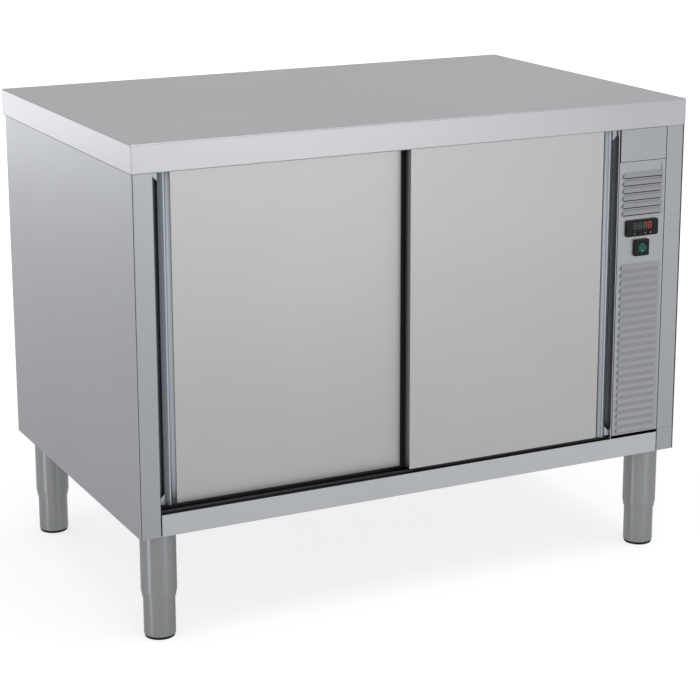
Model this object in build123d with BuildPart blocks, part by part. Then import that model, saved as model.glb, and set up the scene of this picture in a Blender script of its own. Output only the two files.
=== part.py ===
"""Heated food holding cabinet: a steel cupboard on four adjustable legs, with two sliding doors,
a ventilated and insulated chamber, and a service bay with its controls on the right.

Frame: X runs along the width (right is positive), -Y is the front, Z is up, in millimetres.
The origin is on the floor, below the middle of the worktop.
"""

import math
import os

from build123d import *

os.makedirs("parts", exist_ok=True)

# ---------------------------------------------------------------- driving dimensions
width = 1100
depth = 700
height = 880

# worktop
apron_height = 50
worktop_sheet = 1.5
worktop_hem = 4
worktop_bend = 1.05

# body shell
leg_height = 196
side_overhang = 1
front_overhang = 2
rear_overhang = 15
skin = 1.2
liner_sheet = 1.0
stile_width = 38
corner_gap = 0.8
rail_height = 39
rail_lip = 4
rail_end_gap = 1.5
rail_back_lip = 12
cap_proud = 0.5
pan_edge = 20
rear_margin = 4

# service bay on the right, behind the control panels
bay_width = 103.5
panel_gap = 1.0
panel_foot_gap = 6
upper_panel_height = 61
panel_return = 10

# doors
door_thickness = 20
front_door_setback = 4
door_gap = 4
door_foot_gap = 6
door_rise = 8
door_sheet = 1.0
left_door_stop = 9.3
right_door_stop = 0.5
right_door_width = 432.5
left_door_width = 493
door_edge_gap = 0.4

# door handle profile
handle_width = 30.5
groove_width = 9.5
ridge_width = 11
ridge_proud = 1.5
flange_setback = 4.5
handle_wall = 2
groove_edge = 0.3
groove_depth = 2.2
notch_margin = 1
notch_foot = 19
notch_head = 28

# door rollers and tracks
wheel_radius = 11
wheel_width = 6
axle_radius = 2.5
axle_clearance = 0.05
hanger_sheet = 2
hanger_width = 26
wheel_inset = 70
track_wall = 1.5
ledge_width = 11
ledge_rise = 12
guide_blade = 2.4
guide_rise = 5
guide_clearance = 0.4
guide_length = 27
guide_inset = 14
shoe_gap = 1.5
shoe_bridge = 1.5
shoe_half = 5

# chamber
chamber_front_gap = 2
rear_insulation = 33
floor_insulation = 36
partition_insulation = 17
baffle_gap = 34
baffle_front = -270
intake_rings = ((16, 6), (34, 12), (52, 18))
intake_hole = 6
outlet_drop = 200
outlet_pitch = (40, 60)
outlet_count = (12, 5)
outlet_slot = (28, 8)
insulation_clearance = 0.4

# shelf
shelf_rise = 284
shelf_edge = 22
shelf_clearance = 3
shelf_slot = (52, 9)
shelf_slot_pitch = (88, 78)
shelf_slot_count = (9, 6)
shelf_post_y = 250
post_width = 24
post_thickness = 5
peg_size = 10

# louvres
louvre_length = 91
louvre_height = 9.5
louvre_proud = 3.2
louvre_mitre = 4
slot_drop = 2.4
slot_rise = 2
hood_sheet = 1.2
open_louvres = 6
open_pitch = 14.1
closed_louvres = 23
closed_pitch = 14.5
first_open_drop = 29
first_closed_drop = 203.5

# thermostat and switch
case_width = 71
case_height = 31
case_proud = 5
case_corner = 4
case_chamfer = 0.8
case_body_width = 67
case_body_height = 27
case_body_depth = 58
case_drop = 126
window_width = 50
window_height = 14.5
window_rise = 4.2
window_sheet = 1.2
key_width = 7
key_height = 3.6
key_pitch = 12
key_drop = 10.2
key_proud = 0.6
key_travel = 0.6
key_depth = 6
key_clearance = 0.2
bezel_width = 32.5
bezel_height = 31.5
bezel_drop = 164
bezel_proud = 6
bezel_corner = 3
bezel_chamfer = 1
bezel_body_width = 28
bezel_body_depth = 30
rocker_radius = 10
rocker_setback = 3
rocker_back = 6
rocker_hole_depth = 20
rocker_proud = 2.2
rocker_clearance = 0.5
rocker_tilt = 6

# fan and heater
fan_drop = 190
fan_depth = 0
impeller_radius = 75
impeller_width = 24
impeller_blades = 12
impeller_clearance = 5
motor_radius = 40
motor_length = 62
motor_gap = 2
motor_edge = 6
shaft_radius = 4
shaft_hole = shaft_radius + 2
plate_sheet = 1.5
hub_radius = 12
hub_setback = 4
blade_sheet = 1.5
blade_angle = 18
blade_ratio = 0.62
ring_width = 3.5
ring_proud = 1
heater_radius = 100
heater_tube = 4
heater_leg_hole = heater_tube + 0.6
heater_leg_spread = 14
heater_leg_end = 6
gland_rise = 66
gland_neck_ratio = 0.7
gland_nut_ratio = 0.78
gland_neck_clearance = 0.2
gland_flange = 5
gland_inside = 10
gland_radius = 12
gland_bore = 5.5
gland_length = 26

# legs
leg_inset_side = 47
front_leg_inset = 43
rear_leg_inset = 78
leg_radius = 31.8
leg_wall = 1.5
leg_straight = 110
leg_cone = 8
leg_collar = 3
foot_radius = 28.2
foot_inside = 70
foot_clearance = 0.25
pad_radius = 26.8
pad_height = 5
stud_radius = 4
stud_clearance = 0.5
stud_rise = 22
stud_gap = 2
socket_thickness = 8

# screws
screw_head_radius = 4
screw_head_height = 2
screw_radius = 1.8
screw_length = 9
screw_hole = screw_radius + 0.1
rear_flange = 20
rear_screw_rows = 5
rear_screw_margin = 40

# ---------------------------------------------------------------- derived places
body_right = width / 2 - side_overhang
body_front = -depth / 2 + front_overhang
body_rear = depth / 2 - rear_overhang
body_foot = leg_height
body_top = height - apron_height
worktop_under = height - worktop_sheet
stile_inner = body_right - stile_width
rail_top = body_foot + rail_height
pocket_floor = rail_top - rail_lip

right_door_front = body_front + front_door_setback
right_door_back = right_door_front + door_thickness
left_door_front = right_door_back + door_gap
left_door_back = left_door_front + door_thickness
pocket_back = left_door_back + chamber_front_gap
door_foot = rail_top + door_foot_gap
door_head = body_top + door_rise

panel_right = stile_inner - panel_gap
panel_left = panel_right - bay_width + panel_gap
panel_middle = (panel_left + panel_right) / 2
panel_foot = rail_top + panel_foot_gap
upper_panel_foot = body_top - upper_panel_height
partition_left = panel_left - panel_gap - liner_sheet

left_door_low = -stile_inner + left_door_stop
left_door_high = left_door_low + left_door_width
right_door_high = partition_left - right_door_stop
right_door_low = right_door_high - right_door_width

chamber_left = -stile_inner
chamber_floor = rail_top + liner_sheet
chamber_ceiling = body_top - 2 * liner_sheet
chamber_rear = body_rear - skin - rear_insulation - liner_sheet
baffle_left = partition_left - baffle_gap
ledge_height = body_top + ledge_rise
shelf_height = chamber_floor + shelf_rise
fan_height = body_top - fan_drop
gland_height = body_foot + gland_rise


# ---------------------------------------------------------------- shared shapes
def block(x, y, z, mode=Mode.ADD):
    """Add or cut a box that spans the three (low, high) pairs."""
    base = Plane.XY.offset(z[0])
    with BuildSketch(base) as outline:
        with Locations(((x[0] + x[1]) / 2, (y[0] + y[1]) / 2)):
            Rectangle(x[1] - x[0], y[1] - y[0])
    extrude(outline.sketch, amount=z[1] - z[0], mode=mode)


def mirrored(x, side):
    """Give the (low, high) pair of a right-hand span, or of its mirror on the left."""
    return (x[0], x[1]) if side > 0 else (-x[1], -x[0])


def store(piece, name):
    """Label one finished piece and write it to its own file."""
    piece.part.label = name
    export_step(piece.part, f"parts/{name}.step")


def drill(x, y, z, radius, length, plane):
    """Cut a round hole from (x, y, z) along the normal of a named plane."""
    start = Plane(origin=(x, y, z), x_dir=plane.x_dir, z_dir=plane.z_dir)
    with BuildSketch(start) as outline:
        Circle(radius)
    extrude(outline.sketch, amount=length, mode=Mode.SUBTRACT)


def rod(x, y, z, radius, length, plane):
    """Add a round bar from (x, y, z) along the normal of a named plane."""
    start = Plane(origin=(x, y, z), x_dir=plane.x_dir, z_dir=plane.z_dir)
    with BuildSketch(start) as outline:
        Circle(radius)
    extrude(outline.sketch, amount=length)


towards_front = Plane.XZ
towards_back = Plane(origin=(0, 0, 0), x_dir=(1, 0, 0), z_dir=(0, 1, 0))
towards_right = Plane.YZ

# ---------------------------------------------------------------- worktop
with BuildPart() as worktop:
    inner_x = width / 2 - worktop_sheet
    inner_y = depth / 2 - worktop_sheet
    mouth_x = width / 2 - worktop_hem
    mouth_y = depth / 2 - worktop_hem
    block((-width / 2, width / 2), (-depth / 2, depth / 2), (body_top, height))
    block((-inner_x, inner_x), (-inner_y, inner_y), (body_top + worktop_sheet, worktop_under), Mode.SUBTRACT)
    block((-mouth_x, mouth_x), (-mouth_y, mouth_y), (body_top, body_top + worktop_sheet), Mode.SUBTRACT)
    fillet(worktop.edges().group_by(Axis.Z)[-1], radius=worktop_bend)
store(worktop, "worktop")

# ---------------------------------------------------------------- shell: sides, stiles, rail, base, rear
stile_outer = body_right - skin - corner_gap
cap_top = panel_foot
rear_screw_x = body_right - rear_flange / 2
rear_screw_step = (body_top - body_foot - 2 * rear_screw_margin) / (rear_screw_rows - 1)
rear_screw_heights = [body_foot + rear_screw_margin + i * rear_screw_step for i in range(rear_screw_rows)]

for side, hand in ((-1, "left"), (1, "right")):
    with BuildPart() as side_panel:
        block(mirrored((body_right - skin, body_right), side), (body_front, body_rear), (body_foot, body_top))
        block(
            mirrored((body_right - rear_flange, body_right), side),
            (body_rear - skin, body_rear),
            (body_foot, body_top),
        )
        for screw_z in rear_screw_heights:
            drill(side * rear_screw_x, body_rear, screw_z, screw_hole, skin, towards_front)
    store(side_panel, f"side_panel_{hand}")

    stile_span = (body_foot if side < 0 else cap_top, body_top)
    with BuildPart() as stile:
        block(mirrored((stile_inner, stile_outer), side), (body_front, body_front + skin), stile_span)
        block(mirrored((stile_inner, stile_inner + skin), side), (body_front, pocket_back), stile_span)
        block(mirrored((stile_outer - skin, stile_outer), side), (body_front, pocket_back), stile_span)
    store(stile, f"stile_{hand}")

with BuildPart() as corner_cap:
    block((stile_inner, stile_outer), (body_front - cap_proud, pocket_back), (body_foot, cap_top))
    block(
        (stile_inner + skin, stile_outer - skin),
        (body_front + skin, pocket_back),
        (body_foot + skin, cap_top),
        Mode.SUBTRACT,
    )
store(corner_cap, "corner_cap")

leg_x = width / 2 - leg_inset_side
leg_front_y = -depth / 2 + front_leg_inset
leg_rear_y = depth / 2 - rear_leg_inset
stud_hole = stud_radius + stud_clearance

with BuildPart() as bottom_rail:
    rail_half = stile_inner - rail_end_gap
    rail_x = (-rail_half, rail_half)
    block(rail_x, (body_front, body_front + skin), (body_foot, rail_top))
    block(rail_x, (body_front, pocket_back), (pocket_floor - skin, pocket_floor))
    block(rail_x, (body_front, pocket_back), (body_foot, body_foot + skin))
    block(rail_x, (pocket_back - skin, pocket_back), (pocket_floor - rail_back_lip, pocket_floor))
    for leg_side in (-1, 1):
        drill(leg_side * leg_x, leg_front_y, body_foot, stud_hole, skin, Plane.XY)
store(bottom_rail, "bottom_rail")

with BuildPart() as base_pan:
    pan_x = body_right - skin
    pan_rear = body_rear - skin
    pan_z = (body_foot, body_foot + pan_edge)
    block((-pan_x, pan_x), (pocket_back, pan_rear), (body_foot, body_foot + skin))
    for side in (-1, 1):
        block(mirrored((pan_x - skin, pan_x), side), (pocket_back, pan_rear), pan_z)
        drill(side * leg_x, leg_rear_y, body_foot, stud_hole, skin, Plane.XY)
    block((-pan_x, pan_x), (pan_rear - skin, pan_rear), pan_z)
store(base_pan, "base_pan")

bay_middle = (partition_left + stile_inner) / 2
vent_slots = 9
vent_pitch = 14
vent_slot_height = 5
vent_slot_width = 76
vent_rise = 224

with BuildPart() as rear_panel:
    block(
        (-body_right + rear_margin, body_right - rear_margin),
        (body_rear, body_rear + skin),
        (body_foot + rear_margin, body_top - rear_margin),
    )
    for i in range(vent_slots):
        slot_z = body_foot + vent_rise + i * vent_pitch
        block(
            (bay_middle - vent_slot_width / 2, bay_middle + vent_slot_width / 2),
            (body_rear, body_rear + skin),
            (slot_z, slot_z + vent_slot_height),
            Mode.SUBTRACT,
        )
    drill(bay_middle, body_rear, gland_height, gland_radius * gland_neck_ratio, skin, towards_back)
    for side in (-1, 1):
        for screw_z in rear_screw_heights:
            drill(side * rear_screw_x, body_rear, screw_z, screw_hole, skin, towards_back)
store(rear_panel, "rear_panel")

with BuildPart() as screws:
    for side in (-1, 1):
        for screw_z in rear_screw_heights:
            head = body_rear + skin
            rod(side * rear_screw_x, head, screw_z, screw_head_radius, screw_head_height, towards_back)
            rod(side * rear_screw_x, head, screw_z, screw_radius, screw_length, towards_front)
store(screws, "screws")

with BuildPart() as cable_gland:
    gland_neck = gland_radius * gland_neck_ratio - gland_neck_clearance
    rod(bay_middle, body_rear - gland_inside, gland_height, gland_neck, gland_inside + skin, towards_back)
    gland_face = Plane(origin=(bay_middle, body_rear + skin, gland_height), x_dir=(1, 0, 0), z_dir=(0, 1, 0))
    with BuildSketch(gland_face):
        RegularPolygon(radius=gland_radius, side_count=6)
    extrude(amount=gland_flange)
    nut_radius = gland_radius * gland_nut_ratio
    rod(bay_middle, body_rear + skin, gland_height, nut_radius, gland_length - gland_inside, towards_back)
    drill(bay_middle, body_rear - gland_inside, gland_height, gland_bore, 2 * gland_length, towards_back)
store(cable_gland, "cable_gland")

# ---------------------------------------------------------------- chamber liner and insulation
chamber_x = (chamber_left, partition_left)
liner_z = (rail_top, body_top - liner_sheet)

with BuildPart() as liner_left:
    block((chamber_left - liner_sheet, chamber_left), (pocket_back, chamber_rear + liner_sheet), liner_z)
store(liner_left, "liner_left")

with BuildPart() as liner_rear:
    block(chamber_x, (chamber_rear, chamber_rear + liner_sheet), liner_z)
store(liner_rear, "liner_rear")

with BuildPart() as liner_floor:
    block(chamber_x, (pocket_back, chamber_rear), (rail_top, chamber_floor))
store(liner_floor, "liner_floor")

with BuildPart() as liner_ceiling:
    block(chamber_x, (pocket_back, chamber_rear), (chamber_ceiling, chamber_ceiling + liner_sheet))
store(liner_ceiling, "liner_ceiling")

heater_leg_z = fan_height - math.sqrt(heater_radius ** 2 - heater_leg_spread ** 2)
partition_x = (partition_left, partition_left + liner_sheet)

with BuildPart() as partition:
    block(partition_x, (body_front + skin + corner_gap, body_rear - skin), liner_z)
    drill(partition_left, fan_depth, fan_height, shaft_hole, liner_sheet, towards_right)
    for side in (-1, 1):
        heater_leg_y = fan_depth + side * heater_leg_spread
        drill(partition_left, heater_leg_y, heater_leg_z, heater_leg_hole, liner_sheet, towards_right)
store(partition, "partition")

with BuildPart() as insulation_slabs:
    gap = insulation_clearance
    slab_y = (pocket_back + gap, body_rear - 2 * skin - gap)
    slab_z = (rail_top + gap, body_top - liner_sheet)
    side_slab = (-body_right + skin + gap, chamber_left - liner_sheet - gap)
    bay_slab = (partition_x[1] + gap, partition_x[1] + partition_insulation)
    floor_slab = (-leg_x + stud_hole + stud_gap, partition_left)
    block(side_slab, (slab_y[0], body_rear + skin - screw_length - gap), slab_z)
    block(chamber_x, (chamber_rear + liner_sheet + gap, body_rear - 2 * skin - gap), slab_z)
    block(floor_slab, slab_y, (body_foot + skin + gap, rail_top - gap))
    block(chamber_x, slab_y, (body_top, worktop_under - gap))
    block(bay_slab, slab_y, slab_z)
    slab_reach = 2 * partition_insulation
    drill(partition_left, fan_depth, fan_height, shaft_hole, slab_reach, towards_right)
    for side in (-1, 1):
        heater_leg_y = fan_depth + side * heater_leg_spread
        drill(partition_left, heater_leg_y, heater_leg_z, heater_leg_hole, slab_reach, towards_right)
store(insulation_slabs, "insulation_slabs")

# ---------------------------------------------------------------- shelf and its posts
peg_x = post_thickness + peg_size

with BuildPart() as shelf_posts:
    for post_y in (-shelf_post_y, shelf_post_y):
        span_y = (post_y - post_width / 2, post_y + post_width / 2)
        peg_y = (post_y - peg_size / 2, post_y + peg_size / 2)
        peg_z = (shelf_height - peg_size, shelf_height)
        post_z = (chamber_floor, chamber_ceiling)
        block((chamber_left, chamber_left + post_thickness), span_y, post_z)
        block((chamber_left + post_thickness, chamber_left + peg_x), peg_y, peg_z)
        block((baffle_left - post_thickness, baffle_left), span_y, post_z)
        block((baffle_left - peg_x, baffle_left - post_thickness), peg_y, peg_z)
store(shelf_posts, "shelf_posts")

with BuildPart() as shelf:
    post_space = post_thickness + shelf_clearance
    shelf_x = (chamber_left + post_space, baffle_left - post_space)
    shelf_y = (baffle_front, chamber_rear - shelf_clearance)
    block(shelf_x, shelf_y, (shelf_height, shelf_height + liner_sheet))
    block(shelf_x, (shelf_y[0], shelf_y[0] + liner_sheet), (shelf_height - shelf_edge, shelf_height))
    block(shelf_x, (shelf_y[1] - liner_sheet, shelf_y[1]), (shelf_height - shelf_edge, shelf_height))
    vent_rows = Plane(origin=((shelf_x[0] + shelf_x[1]) / 2, (shelf_y[0] + shelf_y[1]) / 2, shelf_height))
    with BuildSketch(vent_rows):
        with GridLocations(*shelf_slot_pitch, *shelf_slot_count):
            SlotOverall(*shelf_slot)
    extrude(amount=liner_sheet, mode=Mode.SUBTRACT)
store(shelf, "shelf")

# ---------------------------------------------------------------- air baffle, fan and heater
with BuildPart() as air_baffle:
    baffle_y = (baffle_front, chamber_rear)
    baffle_z = (chamber_floor, chamber_ceiling)
    block((baffle_left, baffle_left + liner_sheet), baffle_y, baffle_z)
    block((baffle_left, partition_left), (baffle_front, baffle_front + liner_sheet), baffle_z)
    intake = Plane(origin=(baffle_left, fan_depth, fan_height), x_dir=(0, 1, 0), z_dir=(1, 0, 0))
    with BuildSketch(intake):
        for ring_radius, ring_count in intake_rings:
            with PolarLocations(ring_radius, ring_count):
                Circle(intake_hole)
    extrude(amount=liner_sheet, mode=Mode.SUBTRACT)
    outlet_middle = (baffle_left, (baffle_y[0] + baffle_y[1]) / 2, fan_height - outlet_drop)
    with BuildSketch(Plane(origin=outlet_middle, x_dir=(0, 1, 0), z_dir=(1, 0, 0))):
        with GridLocations(*outlet_pitch, *outlet_count):
            SlotOverall(*outlet_slot)
    extrude(amount=liner_sheet, mode=Mode.SUBTRACT)
store(air_baffle, "air_baffle")

impeller_back = partition_left - impeller_clearance
impeller_front = impeller_back - impeller_width
motor_front = partition_x[1] + partition_insulation + motor_gap

with BuildPart() as fan_motor:
    rod(motor_front, fan_depth, fan_height, motor_radius, motor_length, towards_right)
    drill(motor_front, fan_depth, fan_height, shaft_radius + axle_clearance, motor_length / 2, towards_right)
    fillet(fan_motor.edges().group_by(Axis.X)[-1], radius=motor_edge)
store(fan_motor, "fan_motor")

with BuildPart() as fan_impeller:
    blade_inner = impeller_radius * blade_ratio
    rod(impeller_back - plate_sheet, fan_depth, fan_height, impeller_radius, plate_sheet, towards_right)
    hub_front = impeller_front + hub_setback
    shaft_length = motor_front + motor_length / 2 - hub_front - motor_gap
    rod(hub_front, fan_depth, fan_height, hub_radius, impeller_width - hub_setback, towards_right)
    rod(hub_front, fan_depth, fan_height, shaft_radius, shaft_length, towards_right)
    blades = Plane(origin=(impeller_front, fan_depth, fan_height), x_dir=(0, 1, 0), z_dir=(1, 0, 0))
    with BuildSketch(blades):
        with PolarLocations((blade_inner + impeller_radius) / 2, impeller_blades):
            Rectangle(impeller_radius - blade_inner, blade_sheet, rotation=blade_angle)
    extrude(amount=impeller_width)
    with BuildSketch(blades):
        Circle(impeller_radius + ring_proud)
        Circle(impeller_radius + ring_proud - ring_width, mode=Mode.SUBTRACT)
    extrude(amount=plate_sheet)
store(fan_impeller, "fan_impeller")

with BuildPart() as heating_element:
    heater_x = (impeller_front + impeller_back) / 2
    ring_top = (heater_x, fan_depth, fan_height + heater_radius)
    with BuildSketch(Plane(origin=ring_top, x_dir=(1, 0, 0), z_dir=(0, 1, 0))):
        Circle(heater_tube)
    revolve(axis=Axis((heater_x, fan_depth, fan_height), (1, 0, 0)), revolution_arc=360)
    for side in (-1, 1):
        heater_leg_y = fan_depth + side * heater_leg_spread
        leg_length = bay_slab[1] + heater_leg_end - heater_x
        rod(heater_x, heater_leg_y, heater_leg_z, heater_tube, leg_length, towards_right)
store(heating_element, "heating_element")

# ---------------------------------------------------------------- door tracks
right_door_middle = (right_door_front + right_door_back) / 2
left_door_middle = (left_door_front + left_door_back) / 2
channel_front = 12
ledge_under = ledge_height - track_wall
track_x = (chamber_left, partition_left - right_door_stop)

with BuildPart() as top_track:
    track_front = right_door_middle - channel_front
    block(track_x, (track_front, pocket_back), (worktop_under - track_wall, worktop_under))
    block(track_x, (pocket_back - track_wall, pocket_back), (ledge_under, worktop_under))
    for door_middle in (right_door_middle, left_door_middle):
        wall_y = door_middle - channel_front
        block(track_x, (wall_y, wall_y + track_wall), (ledge_under, worktop_under))
        block(track_x, (wall_y, wall_y + ledge_width), (ledge_under, ledge_height))
store(top_track, "top_track")

with BuildPart() as bottom_track:
    guide_base = pocket_floor + track_wall
    guide_top = guide_base + guide_rise
    block(track_x, (body_front + skin + track_wall, pocket_back - track_wall), (pocket_floor, guide_base))
    for door_middle in (right_door_middle, left_door_middle):
        blade_y = (door_middle - guide_blade / 2, door_middle + guide_blade / 2)
        block(track_x, blade_y, (guide_base, guide_top))
store(bottom_track, "bottom_track")

# ---------------------------------------------------------------- sliding doors
wheel_lift = 0.3
axle_height = ledge_height + wheel_lift + wheel_radius
hanger_foot = 1.5
hanger_top = axle_height + 8
wheel_offset = -3.5
web_offset = 1
axle_head = 1.5
axle_head_gap = 0.4
axle_head_rim = 1.5
hanger_plate = (-5, 7)

# The handle is an extrusion: a shallow groove beside the door skin, a ridge, and a flange that
# slopes back over an open channel. Each point is (distance in from the outer edge, distance behind
# the door's face). The flange is cut away along most of its length for fingers.
flange_width = handle_width - groove_width - ridge_width
ridge_edge = handle_width - groove_width
channel_depth = door_thickness - handle_wall
handle_section = (
    (ridge_edge, groove_edge),
    (ridge_edge - 0.6, groove_edge - ridge_proud),
    (ridge_edge - 1.6, -ridge_proud),
    (ridge_edge - 3.2, -ridge_proud),
    (flange_width, flange_setback),
    (0, flange_setback),
    (0, flange_setback + handle_wall),
    (flange_width + 1, flange_setback + handle_wall),
    (ridge_edge - handle_wall, handle_wall),
    (ridge_edge - handle_wall, channel_depth),
    (0, channel_depth),
    (0, door_thickness),
    (handle_width, door_thickness),
    (handle_width, groove_edge),
)

doors = (
    ("left_door", -1, left_door_low, left_door_high, left_door_front),
    ("right_door", 1, right_door_low, right_door_high, right_door_front),
)

for door_name, side, low_x, high_x, front_y in doors:
    back_y = front_y + door_thickness
    middle_y = front_y + door_thickness / 2
    outer_x = high_x if side > 0 else low_x
    handle_edge = outer_x - side * (handle_width + door_edge_gap)
    inner_x = low_x if side > 0 else high_x
    tray_x = (min(handle_edge, inner_x), max(handle_edge, inner_x))

    with BuildPart() as door_skin:
        block(tray_x, (front_y, back_y), (door_foot, door_head))
        block(
            (tray_x[0] + door_sheet, tray_x[1] - door_sheet),
            (front_y + door_sheet, back_y),
            (door_foot + door_sheet, door_head - door_sheet),
            Mode.SUBTRACT,
        )
    store(door_skin, f"{door_name}_skin")

    with BuildPart() as door_liner:
        liner_inset = door_sheet + door_edge_gap
        block(
            (tray_x[0] + liner_inset, tray_x[1] - liner_inset),
            (back_y - liner_sheet, back_y),
            (door_foot + liner_inset, door_head - liner_inset),
        )
    store(door_liner, f"{door_name}_liner")

    section = [(outer_x - side * outward, front_y + setback) for outward, setback in handle_section]
    groove_middle = (outer_x - side * (handle_width - groove_width / 2), front_y + groove_depth)
    with BuildPart() as door_handle:
        with BuildSketch(Plane.XY.offset(door_foot)):
            with BuildLine():
                Polyline(*section)
                ThreePointArc(section[-1], groove_middle, section[0])
            make_face()
        extrude(amount=door_head - door_foot)
        notch_low = door_foot + notch_foot
        notch_high = door_head - notch_head
        notch_bottom = outer_x - side * flange_width
        notch_mouth = outer_x + side * notch_margin
        with BuildSketch(Plane.XZ.offset(notch_margin - front_y - flange_setback)):
            with BuildLine():
                Polyline(
                    (notch_mouth, notch_low - flange_width - notch_margin),
                    (notch_bottom, notch_low),
                    (notch_bottom, notch_high),
                    (notch_mouth, notch_high + flange_width + notch_margin),
                    close=True,
                )
            make_face()
        extrude(amount=-handle_wall - 1.5 * notch_margin, mode=Mode.SUBTRACT)
    store(door_handle, f"{door_name}_handle")

    wheel_places = (low_x + wheel_inset, high_x - wheel_inset)
    web_y = (middle_y + web_offset, middle_y + web_offset + hanger_sheet)
    wheel_y = middle_y + wheel_offset - wheel_width / 2
    with BuildPart() as door_hangers:
        for wheel_x in wheel_places:
            span_x = (wheel_x - hanger_width / 2, wheel_x + hanger_width / 2)
            block(span_x, [middle_y + edge for edge in hanger_plate], (door_head, door_head + hanger_foot))
            block(span_x, web_y, (door_head, hanger_top))
            rod(wheel_x, web_y[1], axle_height, axle_radius, web_y[1] - wheel_y + axle_head, towards_front)
            head_y = wheel_y - axle_head_gap
            rod(wheel_x, head_y, axle_height, axle_radius + axle_head_rim, axle_head, towards_front)
    store(door_hangers, f"{door_name}_hangers")

    for wheel_x, letter in zip(wheel_places, "ab"):
        with BuildPart() as roller:
            rod(wheel_x, wheel_y, axle_height, wheel_radius, wheel_width, towards_back)
            drill(wheel_x, wheel_y, axle_height, axle_radius + axle_clearance, wheel_width, towards_back)
        store(roller, f"{door_name}_roller_{letter}")

    guide_x = (inner_x + side * guide_inset, inner_x + side * (guide_inset + guide_length))
    guide_slot = guide_blade / 2 + guide_clearance
    shoe_height = door_foot - guide_base - shoe_gap
    with BuildPart() as door_guide:
        shoe_x = (min(guide_x), max(guide_x))
        slot_y = (middle_y - guide_slot, middle_y + guide_slot)
        shoe_foot = door_foot - shoe_height
        block(shoe_x, (middle_y - shoe_half, middle_y + shoe_half), (shoe_foot, door_foot))
        block(shoe_x, slot_y, (shoe_foot, door_foot - shoe_bridge), Mode.SUBTRACT)
    store(door_guide, f"{door_name}_guide")

seal_width = 24
seal_edge = 2
seal_proud = 2.5

with BuildPart() as left_door_seal:
    block(
        (left_door_high - seal_edge - seal_width, left_door_high - seal_edge),
        (left_door_front - seal_proud, left_door_front),
        (door_foot + seal_edge, door_head - seal_edge),
    )
store(left_door_seal, "left_door_seal")

# ---------------------------------------------------------------- control panels and louvres
case_z = upper_panel_foot - case_drop
bezel_z = upper_panel_foot - bezel_drop
cut_margin = 0.3
upper_panel_inset = 2

with BuildPart() as upper_panel:
    upper_x = (panel_left + upper_panel_inset, panel_right)
    upper_z = (upper_panel_foot + panel_gap, body_top - cut_margin)
    block(upper_x, (body_front, body_front + skin), upper_z)
    block((upper_x[0], upper_x[0] + skin), (body_front, body_front + panel_return), upper_z)
    block((upper_x[1] - skin, upper_x[1]), (body_front, body_front + panel_return), upper_z)
store(upper_panel, "upper_panel")

with BuildPart() as hood:
    with BuildSketch(Plane.XZ):
        with BuildLine():
            Polyline(
                (-louvre_length / 2, 0),
                (louvre_length / 2, 0),
                (louvre_length / 2 - louvre_mitre, louvre_height),
                (-louvre_length / 2 + louvre_mitre, louvre_height),
                close=True,
            )
        make_face()
    extrude(amount=louvre_proud)
    slope = Plane(origin=(0, -louvre_proud, 0), x_dir=(1, 0, 0), z_dir=(0, -louvre_height, louvre_proud))
    split(bisect_by=slope, keep=Keep.BOTTOM)

open_heights = [upper_panel_foot - first_open_drop - i * open_pitch for i in range(open_louvres)]
closed_heights = [upper_panel_foot - first_closed_drop - i * closed_pitch for i in range(closed_louvres)]

with BuildPart() as service_panel:
    service_x = (panel_left, panel_right)
    service_z = (panel_foot, upper_panel_foot)
    block(service_x, (body_front, body_front + skin), service_z)
    block((service_x[0], service_x[0] + skin), (body_front, body_front + panel_return), service_z)
    block((service_x[1] - skin, service_x[1]), (body_front, body_front + panel_return), service_z)
    with Locations([(panel_middle, body_front, z) for z in open_heights + closed_heights]):
        add(hood.part)
    slot_half = louvre_length / 2 - louvre_mitre
    for z in open_heights:
        block(
            (panel_middle - slot_half, panel_middle + slot_half),
            (body_front - louvre_proud + hood_sheet, body_front + skin),
            (z - slot_drop, z + slot_rise),
            Mode.SUBTRACT,
        )
    block(
        (panel_middle - case_body_width / 2 - cut_margin, panel_middle + case_body_width / 2 + cut_margin),
        (body_front, body_front + skin),
        (case_z - case_body_height / 2 - cut_margin, case_z + case_body_height / 2 + cut_margin),
        Mode.SUBTRACT,
    )
    block(
        (panel_middle - bezel_body_width / 2 - cut_margin, panel_middle + bezel_body_width / 2 + cut_margin),
        (body_front, body_front + skin),
        (bezel_z - bezel_body_width / 2 - cut_margin, bezel_z + bezel_body_width / 2 + cut_margin),
        Mode.SUBTRACT,
    )
store(service_panel, "service_panel")

# ---------------------------------------------------------------- thermostat: case, window and keys
case_face = body_front - case_proud
window_z = case_z + window_rise
key_z = case_z - key_drop
key_places = [panel_middle + (i - 1.5) * key_pitch for i in range(4)]
key_hole_depth = key_depth + key_travel + key_clearance
key_edge = 0.3

with BuildPart() as thermostat_case:
    with BuildSketch(Plane.XZ.offset(-body_front)):
        with Locations((panel_middle, case_z)):
            RectangleRounded(case_width, case_height, case_corner)
    extrude(amount=case_proud)
    chamfer(thermostat_case.edges().group_by(Axis.Y)[0], length=case_chamfer)
    block(
        (panel_middle - case_body_width / 2, panel_middle + case_body_width / 2),
        (body_front, body_front + case_body_depth),
        (case_z - case_body_height / 2, case_z + case_body_height / 2),
    )
    block(
        (panel_middle - window_width / 2, panel_middle + window_width / 2),
        (case_face, case_face + window_sheet),
        (window_z - window_height / 2, window_z + window_height / 2),
        Mode.SUBTRACT,
    )
    for key_x in key_places:
        block(
            (key_x - key_width / 2 - key_clearance, key_x + key_width / 2 + key_clearance),
            (case_face, case_face + key_hole_depth),
            (key_z - key_height / 2 - key_clearance, key_z + key_height / 2 + key_clearance),
            Mode.SUBTRACT,
        )
store(thermostat_case, "thermostat_case")

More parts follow.
